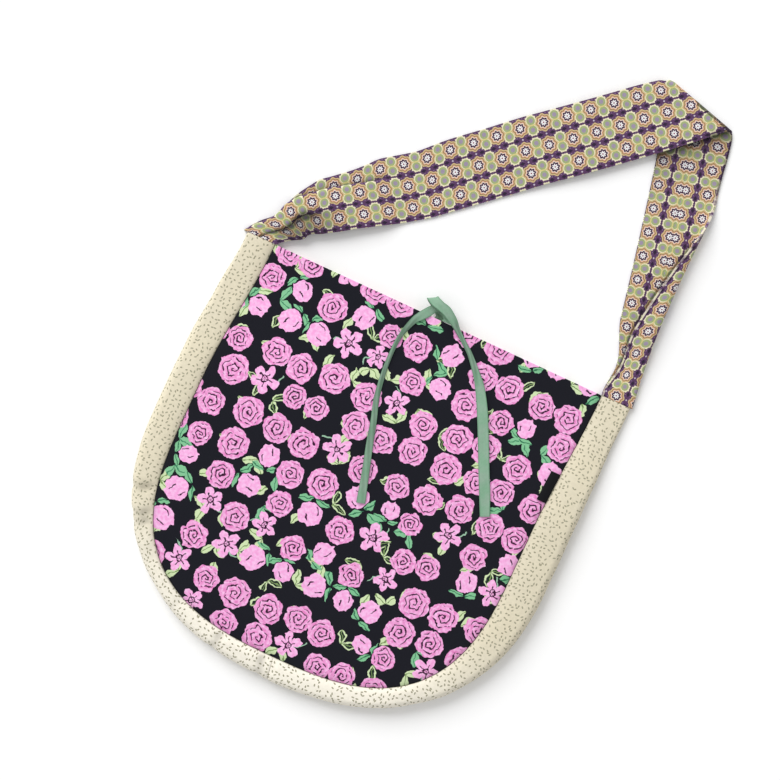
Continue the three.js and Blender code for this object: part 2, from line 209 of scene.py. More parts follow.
def tape(name, places, curl):
    """A tape that is hollow by the curl, in mm. Where it looks narrow it is curled up and stands on edge."""
    route = along_route(places)
    middle, seen_width = route[:, :3], route[:, 4]
    heading = unit(np.gradient(middle, axis=0))
    bearing = np.radians(route[:, 3])
    side = np.stack([np.cos(bearing), np.sin(bearing), np.zeros_like(bearing)], axis=1)
    side = unit(side - heading * (side * heading).sum(1, keepdims=True))
    face = np.cross(side, heading)
    run = run_along(middle)
    across = np.linspace(0.5, -0.5, 9)
    width = seen_width[:, None] * across
    turned_up = 1 - ease(seen_width, 4, 8.5)[:, None]
    waves = 0.3 * np.sin(run / 9 + 1)[:, None] * np.sin(across * math.pi)
    waves = waves + (curl + 2.2 * turned_up) * (0.25 - across ** 2)
    waves = waves + 0.45 * turned_up * width
    points = middle[:, None] + side[:, None] * width[:, :, None] + face[:, None] * waves[:, :, None]
    uv = np.stack(np.broadcast_arrays(across * tape_width, run[:, None]), axis=2)
    # Painted shade in streaks where the tape looks narrow: in the knot and where it curls on edge
    shade_streaks = 0.6 + 0.4 * np.cos(across * 9 + run[:, None] / 6)
    pinched = np.clip(1.15 - seen_width / 9, 0, 0.42)[:, None] * shade_streaks
    piece = cloth(name, points, uv, tape_thickness, offset=0, crease_and_shade=pinched)
    print(f"{name}: {run[-1]:.0f} mm long")
    return piece


tie_back = tape("back_tape", tie_back_route, 0.5)
tie_front = tape("front_tape", tie_front_route, 0.9)

# %% [markdown]
# ## The outline of the bag
#
# Both panels are cut to one pattern: straight sides and a bottom whose curve is squarer than a circle,
# which a superellipse gives with one number. The band stands between them, and as the bag lies flat its
# outer edge is a fold. The front panel lies a little to the left of the back one, so the band shows
# more on the right.

# %% Outlines and heights, in millimetres
mouth_half, bag_depth, straight_side = 181, 400, 200
band_at_mouth, band_at_side, band_at_bottom = 31, 35, 24
side_bulge, drift, lean, settle_run = 1, -5, 3.5, 150
seam_roundness, outer_roundness_left, outer_roundness_right = 2.8, 2.27, 2.3
joint_height, side_height, mouth_lift, dome = 6.4, 17, 6, 5
shell_thickness, lining_thickness, gap = 1.4, 0.8, 0.3
seam_bottom_run = bag_depth - band_at_bottom - straight_side
stations, side_stations, turn_stations = 32, 6, 20


def settled(depth):
    return ease(depth, 0, settle_run)


def seam_half(depth):
    return mouth_half + side_bulge * settled(depth)


def outer_half(depth):
    return mouth_half + between(band_at_mouth, side_bulge + band_at_side, settled(depth))


def around(station, half_width, bottom_run, roundness):
    """x and depth on the way round from the mouth's left corner, over the bottom, to its right corner."""
    down = np.minimum(station, stations - station)
    turn = np.pi * np.clip(down - side_stations, 0, None) / turn_stations
    cosine, sine = np.clip(np.cos(turn), 0, 1), np.sin(turn)
    reach = (cosine ** roundness + sine ** roundness) ** (-1 / roundness)
    on_side = down <= side_stations
    depth = np.where(on_side, straight_side * down / side_stations, straight_side + bottom_run * reach * sine)
    half_there = half_width(np.minimum(depth, straight_side))
    half = np.where(on_side, half_there, half_width(straight_side) * reach * cosine)
    return np.where(station < stations / 2, -half, half), depth


def seam_at(station, side):
    """side is -1 for the front panel's seam and 1 for the back panel's."""
    x, depth = around(station, seam_half, seam_bottom_run, seam_roundness)
    return np.stack([x + (drift + side * lean) * settled(depth), y_mouth - depth], axis=-1)


def outer_at(station):
    roundness = np.where(station <= stations / 2, outer_roundness_left, outer_roundness_right)
    x, depth = around(station, outer_half, bag_depth - straight_side, roundness)
    return np.stack([x + drift * settled(depth), y_mouth - depth], axis=-1)


def seam_height(depth):
    return between(joint_height, side_height, settled(depth))


def front_height(x, y):
    depth = y_mouth - y
    across = np.abs(x - (drift - lean) * settled(depth)) / seam_half(depth)
    down = np.clip((depth - straight_side) / seam_bottom_run, 0, None)
    outward = np.minimum(1, across ** seam_roundness + down ** seam_roundness)
    rise = between(mouth_lift, dome, settled(depth))
    return seam_height(depth) + rise * (1 - outward ** (2 / seam_roundness))


def grain(x, y, scale, seed):
    """Smooth noise at each point, for dents and wrinkles."""
    flat = [noise.noise(Vector((a / scale, b / scale, seed))) for a, b in zip(np.ravel(x), np.ravel(y))]
    return np.reshape(flat, np.shape(x))


print("bottom of the outline:", outer_at(stations / 2).round(1), "cloth height:", front_height(0, 0).round(1))

# %% [markdown]
# ## The panels
#
# A panel is one flat piece of cotton, sewn all round but for the mouth. Its grid runs in rings from the
# outline to the middle, closer together near the seam. There the stitching pulls the cloth down into a
# narrow valley, with small puckers along it. The rest sags in shallow dents where the bag is empty.

# %% Panels
mouth_points, rings, pucker_run = 120, 40, 2.9


def panel(name, side, height, thickness, inset, valley):
    """side is -1 in front and 1 at the back, and valley how deep the sewing and the dents are: 0 or 1."""
    ride_round = np.linspace(0, stations, stations * 10 + 1)
    seam = seam_at(ride_round, side)
    seam = seam - unit(outer_at(ride_round) - seam) * (gap / 2 + inset)
    share = np.linspace(0, 1, mouth_points + 2)[1:-1, None]
    outline = np.vstack([seam, between(seam[-1], seam[0], share)])
    sewn = (np.arange(len(outline)) < len(seam))[:, None]
    run = run_along(outline)[:, None]
    middle = np.array([drift + side * lean, y_mouth - bag_depth * 0.45])
    ring = 1 - np.linspace(0, 1, rings) ** 1.6
    plan = middle + (outline[:, None] - middle) * ring[None, :, None]
    x, y = plan[..., 0], plan[..., 1]
    z = height(x, y)
    from_seam = (1 - ring)[None, :] * np.linalg.norm(outline - middle, axis=1)[:, None] * 0.92
    pull = np.where(sewn, np.exp(-from_seam / 2.5), 0)
    pucker = np.where(sewn, np.exp(-from_seam / 7), 0) * np.sin(run / pucker_run + 3 * grain(run, run, 37, 2))
    dents = 0.5 + 0.8 * grain(x, y, 95, 5) + 0.3 * grain(x, y, 31, 9)
    z = z - valley * (1.2 * pull + 0.3 * (1 + pucker) * np.exp(-from_seam / 9)
                      + np.clip(dents, 0, 1.2) * ease(from_seam, 0, 25))
    # Painted shade in the valley along the seam
    seam_shade = 0.45 * pull * (0.8 + 0.2 * np.sin(run / pucker_run))
    return cloth(name, np.stack([x, y, z], axis=2), plan, thickness, ring=True, crease_and_shade=seam_shade)


def flat_on_table(x, y):
    return shell_thickness + 0 * x


front_cloth = panel("front_cloth", -1, front_height, shell_thickness, 0, 1)
back_cloth = panel("back_cloth", 1, flat_on_table, shell_thickness, 0, 0)

# %% [markdown]
# ## The side band
#
# The band is a long strip of cream cotton in two halves, joined at the bottom of the bag. Flat on the
# table it folds along its middle: every section runs from the back seam along the table, round a soft
# fold and over to the front seam. Cross wrinkles sit where the strip is forced round the corners.

# %% Band
# The middles of the cross wrinkles
wrinkles = [
    (-201, -76), (-192, -101), (-187, -108), (-168, -129), (-163, -134), (-120, -166), (-68, -186),
    (-17, -191), (166, -97), (162, -118), (143, -140),
]
under, round_fold, over = np.linspace(-1, 0, 9)[:-1], np.linspace(0, 1, 17), np.linspace(1, 2, 13)[1:]


def band(name, first, last, end_shift, deeper=0.0, thickness=shell_thickness, wrinkled=1):
    """The band from one station to another. A step of -1 is the back seam, 0 to 1 the fold, 2 the front."""
    station = np.linspace(first, last, int((last - first) * 11) + 1)
    outer, front, back = outer_at(station), seam_at(station, -1), seam_at(station, 1)
    to_front, to_back = unit(outer - front), unit(outer - back)
    front, back = front + to_front * gap / 2, back + to_back * gap / 2
    crease_and_shade = np.zeros(len(station))
    for place in wrinkles:
        away = np.linalg.norm((outer * 2 + front) / 3 - place, axis=1)
        crease_and_shade = np.maximum(crease_and_shade, bell(away, 4.2))
    crease_and_shade *= wrinkled
    wave = grain(outer[:, 0], outer[:, 1], 42, 3) * wrinkled
    outer = outer - to_front * (1.4 * crease_and_shade + 1.1 * wave)[:, None]
    half = seam_height(y_mouth - outer[:, 1]) / 2
    rows, uv, pressed = [], [], []
    for step in np.concatenate([under, round_fold, over]):
        turn = np.pi * (np.clip(step, 0, 1) - 0.5)
        outward = unit(between(to_back, to_front, np.clip(step, 0, 1)))
        edge = outer - outward * (half * (1 - np.cos(turn)))[:, None]
        height = half * (1 + np.sin(turn))
        if step < 0:
            edge = between(edge, back, -step)
            along = np.linalg.norm(edge - outer, axis=1) + half * (np.pi / 2 - 1)
        elif step > 1:
            edge = between(edge, front, step - 1)
            flat = step - 1
            sag = np.sin(np.pi * flat) * (0.7 - 2.5 * crease_and_shade + 0.8 * wave) - 1.4 * np.exp((flat - 1) * 9)
            height = height + sag * wrinkled
            along = -np.linalg.norm(edge - outer, axis=1) - half * (np.pi / 2 - 1)
        else:
            along = -half * turn
        normal = np.column_stack([outward * np.cos(turn), np.full(len(station), np.sin(turn))])
        rows.append(np.column_stack([edge, height]) - normal * deeper)
        uv.append(outer + outward * along[:, None])
        # Painted shade at the cross wrinkles on the top side, and along the front seam
        on_top = math.sin(math.pi * min(max(step - 0.45, 0) / 1.55, 1))
        pressed.append(crease_and_shade * on_top * 0.4 + 0.2 * math.exp(-abs(step - 2) * 14) * wrinkled)
    points, uv = np.stack(rows, axis=1), np.stack(uv, axis=1)
    at_bottom = np.abs(station - stations / 2) < 1e-9
    points[at_bottom, :, 0] += end_shift
    seam_groove = np.exp(-np.abs(points[..., 0] - drift) / 1.6)
    upper = (points[..., 2] > side_height / 2) & (points[..., 1] < -100)
    points[..., 2] -= wrinkled * seam_groove * upper
    return cloth(name, points, uv, thickness, crease_and_shade=np.stack(pressed, axis=1))


band_left = band("band_left", 0, stations / 2, -gap / 2)
band_right = band("band_right", stations / 2, stations, gap / 2)

# %% [markdown]
# ## The lining
#
# A lined bag is a bag inside a bag: the same panels and band in thin plain cotton, a seam's width
# smaller. It shows only through the mouth, so it follows the outer cloth and stays plain.

# %% Lining
inside, lining_inset = shell_thickness + gap, 2.5


def under_front(x, y):
    return front_height(x, y) - inside - 1.3


def over_back(x, y):
    return inside + lining_thickness + 0 * x


front_lining = panel("front_lining", -1, under_front, lining_thickness, lining_inset, 0)
back_lining = panel("back_lining", 1, over_back, lining_thickness, lining_inset, 0)
band_lining = band("band_lining", 0, stations, 0, deeper=inside + 0.3, thickness=lining_thickness, wrinkled=0)

# %% [markdown]
# ## The strap
#
# The strap is a tube of patterned cloth pressed flat, with its seam along the middle of the underside.
# Each end is narrowed to fit the band, and opens out again along its arm. The long arm is laid in a
# pleat, like a letter Z, beside a deep groove. The short arm is simply folded in half lengthwise.
# Near the top of the loop the strap is turned over in a diagonal fold, so the short arm shows its
# underside. It is drawn straight through on one curve, and all that lies past the diagonal is then
# turned back beneath the long arm.

# %% The strap's route
strap_width, strap_thickness = 68, 2
strap_reach, strap_side, fold_radius, roll_radius = 305, 145.5, 2.4, 5.5
set_off, bend_in, bend_out, bend_heading = 57, 30, 67, 34
strap_heading, fold_heading, come_in = 43, -15.5, -81
open_run, open_power = 235, 1.6
pleat_edge, groove_at, groove_half = 45, 23, 7
# Along the long arm, as distance from the band and a length: the cloth hidden in the groove, how wide
# the arm looks, and how far its lower edge swings out
groove_hidden = [(0, 10.5), (10, 8.5), (20, 8), (40, 7.5), (60, 5), (90, 0)]
width_seen = [
    (0, 34.5), (12, 39), (22, 39.5), (32, 37.5), (41, 36), (52, 38.5), (62, 43), (74, 49.5), (86, 55),
    (113, 58), (138, 61.5), (156, 65), (174, 68),
]
swing_out = [
    (0, 0), (14, 4), (26, 6), (36, 4.5), (50, -0.5), (62, -1), (76, 1.5), (93, 2.5), (113, 2.5), (138, 4),
    (163, 5.5), (188, 6), (212, 4.5), (250, 2.5), (300, 0),
]


def towards(degrees):
    return np.array([math.cos(math.radians(degrees)), math.sin(math.radians(degrees))])


def quarter_turn(vectors):
    return np.stack([-vectors[..., 1], vectors[..., 0]], axis=-1)


fold = np.array([strap_side, y_mouth + strap_reach])
fold_along = towards(fold_heading)
fold_outward = quarter_turn(fold_along)
fold_arc = math.pi * fold_radius


def unfolded(place):
    away = place - fold
    return fold + fold_along * away.dot(fold_along) + fold_outward * (fold_arc - away.dot(fold_outward))


def bezier(a, b, c, d, count=400):
    t = np.linspace(0, 1, count)[:, None]
    return a * (1 - t) ** 3 + 3 * b * t * (1 - t) ** 2 + 3 * c * t * t * (1 - t) + d * t ** 3


sewn_x, sewn_y = mouth_half + strap_width / 2, y_mouth + gap
start, end = np.array([-sewn_x, sewn_y]), np.array([sewn_x, sewn_y])
bend = np.array([bend_in - mouth_half, y_mouth + bend_out])
arms = [
    bezier(start, start + 30 * towards(set_off), bend - 30 * towards(bend_heading), bend),
    bezier(bend, bend + 90 * towards(bend_heading), fold - 120 * towards(strap_heading), fold),
    bezier(fold, fold + 90 * towards(strap_heading), unfolded(end - 50 * towards(come_in)), unfolded(end)),
]
route = np.vstack([arms[0], arms[1][1:], arms[2][1:]])
route_run = run_along(route)
route_heading = unit(np.gradient(route, axis=0))
route_length = route_run[-1]
long_arm = route_run[len(arms[0]) + len(arms[1]) - 2]
sewn_left = np.array([-1.0, 0.0])
sewn_right = -2 * fold_along[0] * fold_along - sewn_left
print(f"strap: {route_length:.0f} mm long, long arm {long_arm:.0f} mm")


# %% The strap's folds
crossing = math.radians(strap_heading - fold_heading)
fold_tip = fold - fold_along * strap_width / 2 / math.sin(crossing)
fold_lower = fold + fold_along * strap_width / 2 / math.sin(crossing)


def on_route(values, along):
    return np.stack([np.interp(along, route_run, values[:, k]) for k in (0, 1)], axis=-1)


def lengthwise(s, distance):
    """The short arm, at a distance from the band: how far across and how far down its cloth lies after a
    length s from the free edge, and how far it has turned over in the fold."""
    joint_radius = (joint_height - strap_thickness) / 2
    radius = between(joint_radius, roll_radius, ease(distance, 0, 90))
    arc = math.pi * radius
    middle = strap_width / 2 + (strap_width + arc) / 2 * np.minimum(1, distance / open_run) ** open_power
    begin = middle - arc / 2
    turn = np.clip((s - begin) / radius, 0, math.pi)
    across = np.where(s <= begin, s, begin + radius * np.sin(turn) - np.clip(s - begin - arc, 0, None))
    return across, radius * (1 - np.cos(turn)), turn


def smooth_curve(places, along):
    """A curve through the places given, with its corners rounded off over 12 mm."""
    dense = np.arange(-40, 900.0)
    rounding = np.hanning(13)
    curve = np.convolve(np.interp(dense, *zip(*places)), rounding / rounding.sum(), mode="same")
    return np.interp(along, dense, curve)


def pleated(s, distance):
    """The long arm: its outer column is laid under the middle one in a pleat, and a groove runs between
    the middle column and the inner one. Gives how far across and how high its cloth lies, how far it has
    turned, and the depths of the pleat and the groove."""
    groove = smooth_curve(groove_hidden, distance)
    depth = np.clip(strap_width - smooth_curve(width_seen, distance) - groove, 0, None) / 2
    tight = math.pi * (joint_height - strap_thickness) / 4
    arc = np.maximum(np.minimum(between(tight, 5.2, ease(distance, 0, 60)), depth), 0.01)
    turn = math.pi * ease(depth, 0, 5)
    rate = np.maximum(turn / arc, 1e-6)
    first = pleat_edge - arc / 2
    under = np.clip(s - first, 0, arc)
    back = np.clip(s - first - arc, 0, depth - arc)
    out = np.clip(s - first - depth, 0, arc)
    rest = np.clip(s - first - depth - arc, 0, None)
    across = (np.minimum(s, first) + np.sin(rate * under) / rate + back * np.cos(turn)
              + (np.sin(turn) - np.sin(turn - rate * out)) / rate + rest
              - groove * ease(s, groove_at - groove_half, groove_at + groove_half))
    drop = (1 - np.cos(rate * under) + np.cos(turn - rate * out) - np.cos(turn)) / rate + back * np.sin(turn)
    whole = 2 * (1 - np.cos(turn)) / rate + (depth - arc) * np.sin(turn)
    rise = whole - drop - 0.5 * groove * bell(s - groove_at, 5)
    return across, rise, rate * (under - out), depth, groove


def strap_wrinkles(s, along):
    """A soft mark where the strap leaves the band, soft dents, and edges that are pressed flat."""
    mark = -0.5 * hill(along, 25, 45, 110, 150) * bell(s - 44, 1.6)
    dents = 0.5 * grain(s, along * 0.6, 30, 12) * ease(np.minimum(along, route_length - along), 5, 60)
    return mark + dents - 0.4 * np.exp(-np.minimum(s, strap_width - s) / 1.5)


def turned_back(place, height, s, along):
    """Lays what is past the diagonal back below, and says which points those are. At the two ends of the
    diagonal the cloth is moved by up to 3.5 and 2.6 mm, as the real corners are blunter."""
    away = place - fold
    beyond = away @ fold_outward
    turn = np.clip(beyond / fold_radius, 0, math.pi)
    back = fold_radius * np.sin(turn) - np.clip(beyond - fold_arc, 0, None)
    turned_over = fold + fold_along * (away @ fold_along)[..., None] + fold_outward * back[..., None]
    past = (beyond > 0) & (along > long_arm / 2)
    corner = 3.5 * (1 - ease(s, 0, 16)) * hill(beyond, 0, 10, 12, 60) * past
    place = np.where(past[..., None], turned_over + fold_along * corner[..., None], place)
    height = np.where(past, height - fold_radius * (1 - np.cos(turn)), height)
    from_tip = np.linalg.norm(place - fold_tip, axis=-1)
    place = place + 2.6 * bell(from_tip, 4.5)[..., None] * towards(-76)
    return place, np.maximum(height, strap_thickness / 2 + 0.05), past


def strap_surface(s, along):
    """Where each point of the strap lies, and how much painted shade it gets, from 0 to 1."""
    place, heading = on_route(route, along), unit(on_route(route_heading, along))
    square = quarter_turn(heading)
    on_long, to_joint = along < long_arm, route_length - along
    sewn = np.where(on_long[..., None], sewn_left, sewn_right)
    across = unit(between(sewn, square, ease(np.minimum(along, to_joint), 0, 80)[..., None]))

    # The long arm lies in its pleat and then rises, as the short arm passes under it
    reach, above, turned, pleat, groove = pleated(s, np.clip(along, 0, None))
    above = above + hill(along, 4, 36, 110, 200)
    lift = 2 * fold_radius * ease(along, long_arm - 230, long_arm - 110)
    looser = 3 * s / strap_width * hill(along, 180, 230, long_arm - 60, long_arm)

    # The short arm is folded lengthwise, and its folded edge is tucked in near the band
    reach_short, rise, turned_short = lengthwise(strap_width - s, np.clip(to_joint, 0, None))
    side = np.where(on_long, reach, strap_width - reach_short)
    tuck = 7 * hill(to_joint, 2, 38, 42, 88) * ease(side, 40, 68) * ~on_long
    side = side - tuck - smooth_curve(swing_out, along) * on_long + looser
    height = strap_thickness / 2 + np.where(on_long, above + lift, rise + 2 * fold_radius)
    height = height - 0.45 * tuck * ease(height, 3, 8)

    # Its lower layer sinks beside the flap's free edge, and that edge stands up a little
    flap = lengthwise(np.full_like(s, strap_width), np.clip(to_joint, 0, None))[0]
    beside = np.where(~on_long & (turned_short < 0.1), flap - reach_short, 99)
    channel = bell(beside - 1.5, 2.6) * ease(to_joint, 3, 20)
    rim = bell(s, 2.2) * ease(to_joint, 5, 25) * ~on_long * ease(turned_short, 2, 3)
    height = height - 1.4 * channel + rim
    height = height + strap_wrinkles(s, along) * np.where(on_long, np.cos(turned), -np.cos(turned_short))
    place, height, past = turned_back(place + across * (side - strap_width / 2)[..., None], height, s, along)

    # Painted shade in the groove and beside the pleat, and painted shadow on the inner column, under the
    # crossing and by the flap's edge
    groove_shade = ease(groove, 0.5, 6) * np.exp(-((s - groove_at) / groove_half) ** 4)
    inner = 0.6 * hill(along, 2, 20, 60, 125) * (1 - ease(s, groove_at - 1, groove_at + 3))
    pleat_shade = np.exp(-np.clip(s - pleat_edge - 2 * pleat, 0, None) / 2.5) * (s > pleat_edge + pleat)
    valley_shade = np.clip(groove_shade + inner + 0.7 * ease(pleat, 0.3, 4) * pleat_shade, 0, 1) * on_long
    below = -(place - fold_lower) @ quarter_turn(towards(strap_heading))
    crossing_shadow = 0.85 * np.exp(-np.clip(below, 0, None) / 14) * ~on_long * past
    beneath = 0.85 * bell(beside - 0.9, 1.5) * ease(to_joint, 10, 40)
    # All the painted shade and shadow together
    pressed = np.maximum.reduce([0.95 * valley_shade, beneath, crossing_shadow])
    return np.concatenate([place, height[..., None]], axis=-1), pressed


print(f"the diagonal crosses the strap at {math.degrees(crossing):.1f} degrees")

# %% Strap
bend_length = fold_arc / math.sin(crossing)
rows_along = np.concatenate([
    np.arange(0, long_arm - 2, 2.6),
    np.linspace(long_arm - 1, long_arm + bend_length + 1, 22),
    np.linspace(long_arm + bend_length + 2.5, route_length, 105),
])
widths = np.concatenate([[0, 0.4], np.linspace(1, strap_width - 1, 67), [strap_width - 0.4, strap_width]])
s, along = np.meshgrid(widths, rows_along)

# Near the diagonal the rows lean over, so that they run along it
slant = (1 - ease(np.abs(along - long_arm), 10, 130)) / math.tan(crossing)
along = along - slant * (s - strap_width / 2)
# The strap's points and their painted shade
strap_points, strap_shade = strap_surface(s, along)
strap_uv = np.stack([s, along], axis=2)
strap_cloth = cloth("strap_cloth", strap_points, strap_uv, strap_thickness, offset=0, crease_and_shade=strap_shade)

# The underside is the same tube: the pattern runs on round each edge, and its two halves meet at the
# seam. The shifts of 2 and 5 mm put its columns where they are seen on the short arm. The cloth is drawn
# in along that seam, so the points there move up.
strap_seam, near_seam, drawn_in, shift_lower, shift_upper = 36, 0.3, 0.5, 2, 5
mesh = strap_cloth.data
uv_layer = mesh.uv_layers["cloth"].data
seam_points = set()
for face in mesh.polygons:
    if face.material_index != 1:
        continue
    middle_s = sum(uv_layer[loop].uv[0] for loop in face.loop_indices) / face.loop_total
    turned_at = (shift_lower if middle_s < strap_seam * MM else 2 * strap_width + shift_upper) * MM
    for loop in face.loop_indices:
        s_here = uv_layer[loop].uv[0]
        if abs(s_here - strap_seam * MM) < near_seam * MM:
            seam_points.add(mesh.loops[loop].vertex_index)
        uv_layer[loop].uv[0] = turned_at - s_here
normals = {i: mesh.vertices[i].normal.copy() for i in seam_points}
for i, normal in normals.items():
    mesh.vertices[i].co -= normal * drawn_in * MM
print("points in the strap's seam:", len(seam_points))

# %% [markdown]
# ## The tab
#
# A short folded ribbon is caught in the right seam and lies on the front panel. It is a primitive grid,
# scaled to its size in edit mode. Each of its points is then laid on the cloth below, so the tab bends
# down into the seam where it is sewn in.

# %% Tab
tab_length, tab_reach, tab_depth, tab_thickness = 32, 10, 90, 0.8
bpy.ops.object.select_all(action="DESELECT")
bpy.ops.mesh.primitive_grid_add(x_subdivisions=12, y_subdivisions=34, size=MM)
tab = bpy.context.object
tab.name = "tab"
bpy.ops.object.mode_set(mode="EDIT")
bpy.ops.transform.resize(value=(tab_reach, tab_length, 1))
bpy.ops.object.mode_set(mode="OBJECT")
tab.data.uv_layers.active.name = "cloth"
for loop in tab.data.loops:
    tab.data.uv_layers["cloth"].data[loop.index].uv = tab.data.vertices[loop.vertex_index].co.xy
for vertex in tab.data.vertices:
    x, y = vertex.co.x / MM, y_mouth - tab_depth - tab_length / 2 + vertex.co.y / MM
    depth = y_mouth - y
    seam_x = seam_half(depth) + (drift - lean) * settled(depth) - gap / 2
    x += seam_x - tab_reach / 2
    from_seam = seam_x - x
    height = front_height(x, y) + gap + tab_thickness / 2
    height = height - 1.2 * math.exp(-from_seam / 2.5) + 0.5 * math.sin(from_seam / tab_reach * math.pi)
    vertex.co = Vector((x, y, height)) * MM
thicken(tab, tab_thickness, 0)

# %% [markdown]
# ## Cloth finishes
#
# Each finish below starts from a real cloth. Their patterns read the UV map, which is in metres on the
# cloth, so every size is given in real millimetres. The threads of these cottons are 0.3 mm thick, too
# fine to show at this distance, so the weave is drawn at 1.2 to 1.6 mm.


# %% Helpers for the finishes
def linear(code):
    """An sRGB hex colour as the linear numbers that a shader works with."""
    parts = [int(code[i:i + 2], 16) / 255 for i in (1, 3, 5)]
    return [c / 12.92 if c <= 0.04045 else ((c + 0.055) / 1.055) ** 2.4 for c in parts] + [1]


def node(tree, kind, *values, sockets=None, **settings):
    """Adds one node. A kind in capitals is an operation of the Math node, and another kind may name its
    operation after a space, as in "VectorMath ADD". The values go to its sockets in order: a text is a
    colour, and a node stands for its first output."""
    kind, _, operation = ("Math " + kind if kind.isupper() else kind).partition(" ")
    made = tree.nodes.new("ShaderNode" + kind)
    for name, value in settings.items():
        setattr(made, name, value)
    if operation:
        made.operation = operation
    for socket, value in {**dict(enumerate(values)), **(sockets or {})}.items():
        if isinstance(value, bpy.types.Node):
            value = next(output for output in value.outputs if output.enabled)
        if isinstance(value, bpy.types.NodeSocket):
            tree.links.new(value, made.inputs[socket])
        elif value is not None:
            made.inputs[socket].default_value = linear(value) if isinstance(value, str) else value
    return made


def new_finish(name):
    """A new material, what adds nodes to it, and the place on the cloth in millimetres."""
    material = bpy.data.materials.new(name)
    material.use_nodes = True
    tree = material.node_tree
    add = lambda *values, **settings: node(tree, *values, **settings)
    place = add("VectorMath SCALE", add("UVMap", uv_map="cloth"), sockets={"Scale": 1000})
    return material, add, place


def painted(add, ground, layers):
    """Colours laid over a ground, each where all of its masks are 1."""
    for mask, *others, paint in layers:
        for other in others:
            mask = add("MULTIPLY", mask, other)
        ground = add("Mix", mask, sockets={6: ground, 7: paint}, data_type="RGBA")
    return ground


def length_of(add, x, y):
    return add("SQRT", add("MULTIPLY_ADD", x, x, add("MULTIPLY", y, y)))


def finish(material, add, place, colour, thread, rough, sheen, depth=0.12, specular=0.3):
    """Plain weave over a colour: threads in relief, slightly uneven in tone, and with painted shade in the
    folds.
    """
    waves = add("VectorMath SCALE", place, sockets={"Scale": 2 * math.pi / thread})
    threads = add("SeparateXYZ", add("VectorMath SINE", waves))
    weave = add("MULTIPLY", threads.outputs[0], threads.outputs[1])
    uneven = add("TexNoise", place, sockets={"Scale": 0.35, "Detail": 3.0})
    tone = add("MULTIPLY_ADD", weave, 0.035, 0.90)
    tone = add("MULTIPLY_ADD", uneven, 0.2, tone)
    # Painted shade: the colour is darker by up to 0.9 where the mesh's attribute asks for it
    crease_and_shade = add("Attribute", attribute_name="crease_and_shade")
    tone = add("MULTIPLY", tone, add("MULTIPLY_ADD", crease_and_shade.outputs["Fac"], -0.9, 1))
    shaded = add("Mix", 1.0, sockets={6: colour, 7: tone}, data_type="RGBA", blend_type="MULTIPLY")
    crumple = add("TexNoise", place, sockets={"Scale": 0.11, "Detail": 4.0, "Roughness": 0.6})
    relief = add("MULTIPLY_ADD", crumple, 3.0, weave)
    bump = add("Bump", sockets={"Height": relief, "Strength": 0.6, "Distance": depth * MM})
    tree = material.node_tree
    shader = tree.nodes["Principled BSDF"]
    tree.links.new(shaded.outputs[2], shader.inputs["Base Color"])
    tree.links.new(bump.outputs[0], shader.inputs["Normal"])
    shader.inputs["Roughness"].default_value = rough
    shader.inputs["Sheen Weight"].default_value = sheen
    shader.inputs["Sheen Roughness"].default_value = 0.5
    shader.inputs["Specular IOR Level"].default_value = specular
    print(f"{material.name}: {len(tree.nodes)} nodes")
    return material


def scattered(add, place, spacing, disorder, shift):
    """One motif to a cell: the way from its middle in mm, turned at random, its room, and two numbers
    from 0 to 1 that differ from cell to cell."""
    moved = add("VectorMath ADD", place, shift)
    grid = {"Scale": 1 / spacing, "Randomness": disorder}
    cell = add("TexVoronoi", moved, sockets=grid, voronoi_dimensions="2D")
    room = add("TexVoronoi", moved, sockets=grid, voronoi_dimensions="2D", feature="N_SPHERE_RADIUS")
    away = add("VectorMath SUBTRACT", moved, cell.outputs["Position"])
    chance = add("SeparateColor", cell.outputs["Color"])
    turn = add("MULTIPLY", chance.outputs[0], 2 * math.pi)
    turned = add("VectorRotate", sockets={"Vector": away, "Angle": turn}, rotation_type="Z_AXIS")
    axes = add("SeparateXYZ", turned)
    room = add("MULTIPLY", room.outputs["Radius"], spacing)
    return axes.outputs[0], axes.outputs[1], room, chance.outputs[1], chance.outputs[2]


# %% [markdown]
# ## Rose-printed cotton
#
# The panels are medium-weight cotton with a screen print: pink flowers about 30 mm across on near-black,
# drawn with a brush and thin plum lines. The print could be a painted picture, but a picture has to be
# stored. Here a Voronoi grid gives every flower its own cell, its turn and its kind: a round rose whose
# petals wind inwards, a bud on two leaves, or an open flower on a stem. Leaf pairs lie on a second grid
# below them. A slow noise bends the grid's lines a little, as a hand would. The cloth is matt.


# %% Rose-printed cotton
def leaf(add, x, y, lean, start, reach, half):
    """Two leaves, one to each side of the y axis: how far in from their outline, and from their rib."""
    side = add("ABSOLUTE", x)
    up = add("SUBTRACT", y, start)
    along = add("MULTIPLY_ADD", side, math.sin(lean), add("MULTIPLY", up, math.cos(lean)))
    off = add("MULTIPLY_ADD", side, math.cos(lean), add("MULTIPLY", up, -math.sin(lean)))
    off = add("ABSOLUTE", off)
    share = add("MULTIPLY_ADD", along, 2 / reach, -1)
    width = add("MULTIPLY_ADD", add("MULTIPLY", share, share), -half, half)
    return add("SUBTRACT", width, off), off


